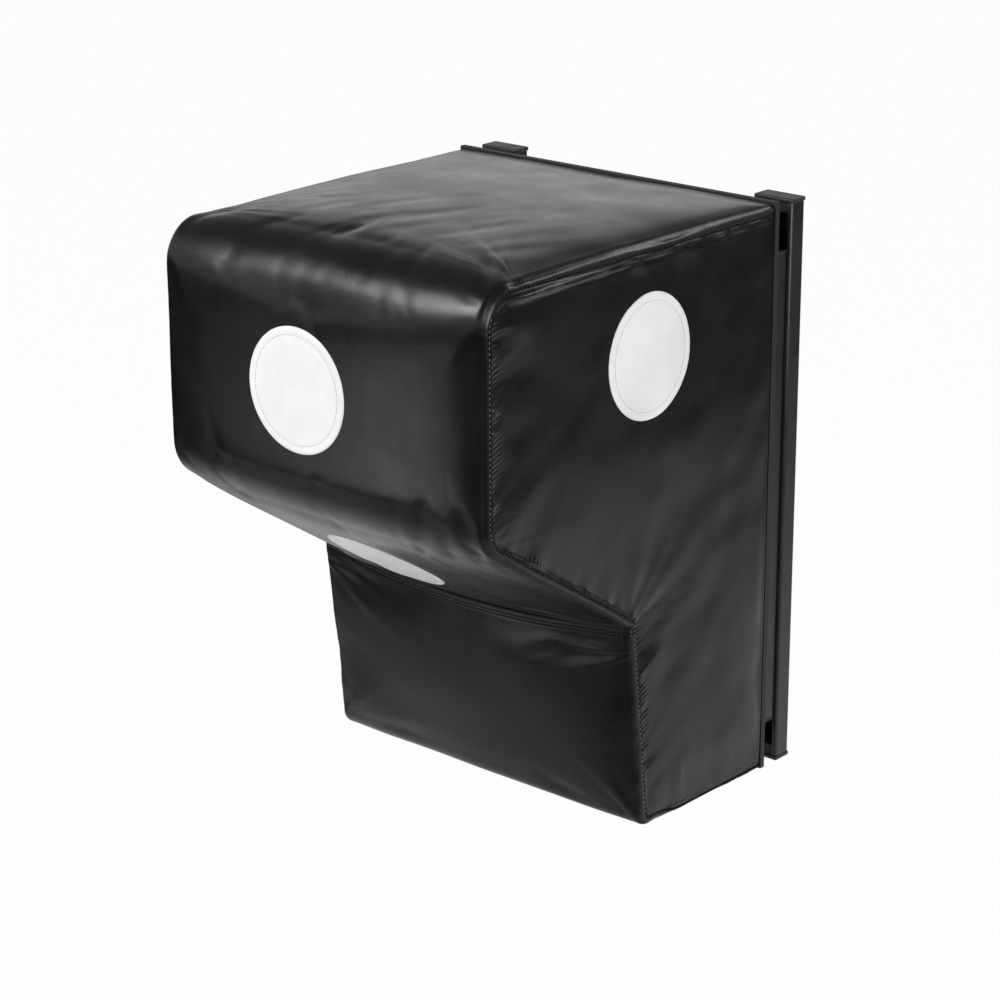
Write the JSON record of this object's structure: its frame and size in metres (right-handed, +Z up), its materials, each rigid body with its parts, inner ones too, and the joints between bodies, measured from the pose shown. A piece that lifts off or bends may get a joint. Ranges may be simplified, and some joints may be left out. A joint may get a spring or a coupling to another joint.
{
  "type": "wall punching pad",
  "caption": "Overhanging wall striking pad in sewn leatherette with target discs, carried by runners that slide on slotted wall rails.",
  "frame": {"origin": "on the wall plane, midway between the two rails, level with their lower ends", "axes": "+Z up along the rails, +Y into the wall, +X to the right for a person who faces the pad"},
  "size_m": [0.5026, 0.5989, 0.7413],
  "materials": {
    "black_vinyl": "semi-gloss black leatherette with stitched seams",
    "white_vinyl": "smooth white leatherette",
    "facing_foam": "soft open-cell foam",
    "core_foam": "firm rebonded foam",
    "black_board": "black faced board",
    "plywood": "plain plywood",
    "black_paint": "black powder coat",
    "black_plastic": "black moulded plastic",
    "natural_nylon": "plain nylon",
    "zinc_steel": "zinc plate"
  },
  "bodies": {
    "wall_side": {"rail_cap_left_lower": "black_plastic", "rail_cap_left_upper": "black_plastic", "rail_cap_right_lower": "black_plastic", "rail_cap_right_upper": "black_plastic", "wall_rail_left": "black_paint", "wall_rail_right": "black_paint"},
    "pad": {"back_board": "black_board", "band_facing_foam": "facing_foam", "board_screw_1": "zinc_steel", "board_screw_2": "zinc_steel", "board_screw_3": "zinc_steel", "board_screw_4": "zinc_steel", "board_screw_5": "zinc_steel", "board_screw_6": "zinc_steel", "core_board": "plywood", "lower_core_foam": "core_foam", "lower_facing_foam": "facing_foam", "runner_bolt_left_lower": "zinc_steel", "runner_bolt_left_upper": "zinc_steel", "runner_bolt_right_lower": "zinc_steel", "runner_bolt_right_upper": "zinc_steel", "runner_left": "black_paint", "runner_plug_left_lower": "black_plastic", "runner_plug_left_upper": "black_plastic", "runner_plug_right_lower": "black_plastic", "runner_plug_right_upper": "black_plastic", "runner_right": "black_paint", "side_facing_foam_left": "facing_foam", "side_facing_foam_right": "facing_foam", "slide_shoe_left_lower": "natural_nylon", "slide_shoe_left_upper": "natural_nylon", "slide_shoe_right_lower": "natural_nylon", "slide_shoe_right_upper": "natural_nylon", "target_disc_front": "white_vinyl", "target_disc_left": "white_vinyl", "target_disc_right": "white_vinyl", "target_disc_underside": "white_vinyl", "tee_nut_left_lower": "zinc_steel", "tee_nut_left_upper": "zinc_steel", "tee_nut_right_lower": "zinc_steel", "tee_nut_right_upper": "zinc_steel", "upper_core_foam": "core_foam", "vinyl_band": "black_vinyl", "vinyl_bottom_panel": "black_vinyl", "vinyl_lower_panel": "black_vinyl", "vinyl_side_left": "black_vinyl", "vinyl_side_right": "black_vinyl"}
  },
  "joints": [
    {"name": "height_slide", "type": "slide", "parent": "wall_side", "child": "pad", "axis": [0, 0, 1], "range_m": [-0.05, 0.055]}
  ]
}
